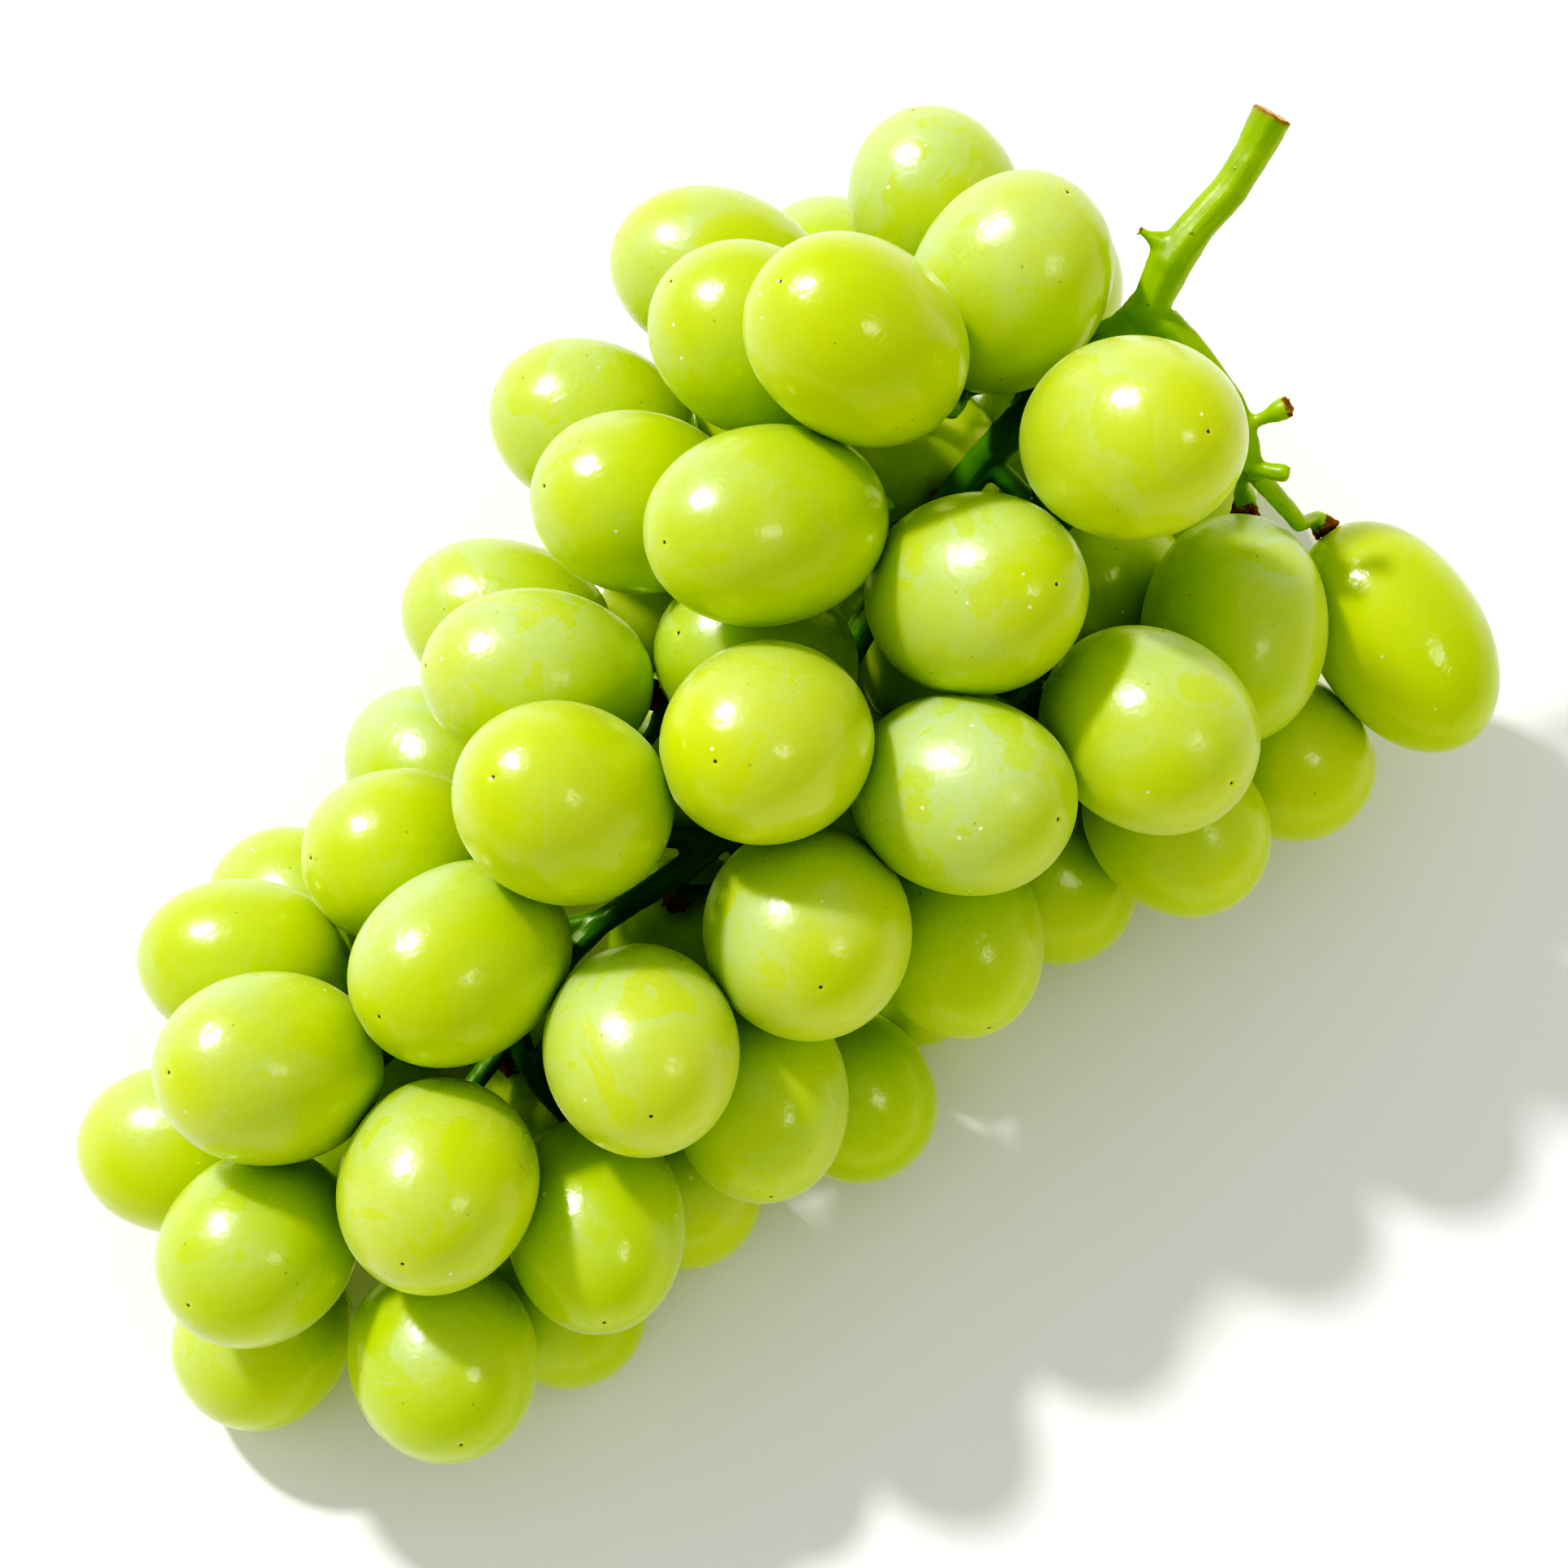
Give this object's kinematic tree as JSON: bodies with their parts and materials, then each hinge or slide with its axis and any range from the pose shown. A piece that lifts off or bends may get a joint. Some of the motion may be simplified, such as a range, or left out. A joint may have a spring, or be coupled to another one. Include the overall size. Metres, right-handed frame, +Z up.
{
  "type": "bunch of grapes",
  "caption": "Bunch of plump oval green table grapes on a branching stem, lying on its side on a flat surface.",
  "frame": {"origin": "on the surface the bunch lies on, under the middle of its bounding box", "axes": "+X along the bunch towards the cut end of its stalk, +Z up"},
  "size_m": [0.2084, 0.1268, 0.0997],
  "materials": {
    "berry_skin": "smooth translucent yellow-green skin under a thin pale powdery bloom, rubbed off in places",
    "stem": "fresh green satin bark with brown cut ends and corky specks"
  },
  "bodies": {
    "root": {"stem": "stem", "berry_a1": "berry_skin", "berry_a2": "berry_skin", "berry_a3": "berry_skin", "berry_a4": "berry_skin", "berry_a5": "berry_skin", "berry_b1": "berry_skin", "berry_b2": "berry_skin", "berry_b3": "berry_skin", "berry_c1": "berry_skin", "berry_c2": "berry_skin", "berry_c3": "berry_skin", "berry_d1": "berry_skin", "berry_d2": "berry_skin", "berry_d3": "berry_skin", "berry_d4": "berry_skin", "berry_d5": "berry_skin", "berry_e1": "berry_skin", "berry_e2": "berry_skin", "berry_e3": "berry_skin", "berry_e4": "berry_skin", "berry_f1": "berry_skin", "berry_f2": "berry_skin", "berry_f3": "berry_skin", "berry_f4": "berry_skin", "berry_g1": "berry_skin", "berry_g2": "berry_skin", "berry_g3": "berry_skin", "berry_g4": "berry_skin", "berry_g5": "berry_skin", "berry_h1": "berry_skin", "berry_h2": "berry_skin", "berry_h3": "berry_skin", "berry_i1": "berry_skin", "berry_i2": "berry_skin", "berry_i3": "berry_skin", "berry_i4": "berry_skin", "berry_i5": "berry_skin", "berry_j1": "berry_skin", "berry_j2": "berry_skin", "berry_j3": "berry_skin", "berry_j4": "berry_skin", "berry_j5": "berry_skin", "berry_k1": "berry_skin", "berry_k2": "berry_skin", "berry_k3": "berry_skin", "berry_k4": "berry_skin", "berry_k5": "berry_skin", "berry_l1": "berry_skin", "berry_l2": "berry_skin", "berry_l3": "berry_skin", "berry_l4": "berry_skin", "berry_m1": "berry_skin", "berry_m2": "berry_skin", "berry_m3": "berry_skin", "berry_m4": "berry_skin", "berry_m5": "berry_skin", "berry_m6": "berry_skin", "berry_n1": "berry_skin", "berry_o1": "berry_skin"}
  },
  "joints": []
}
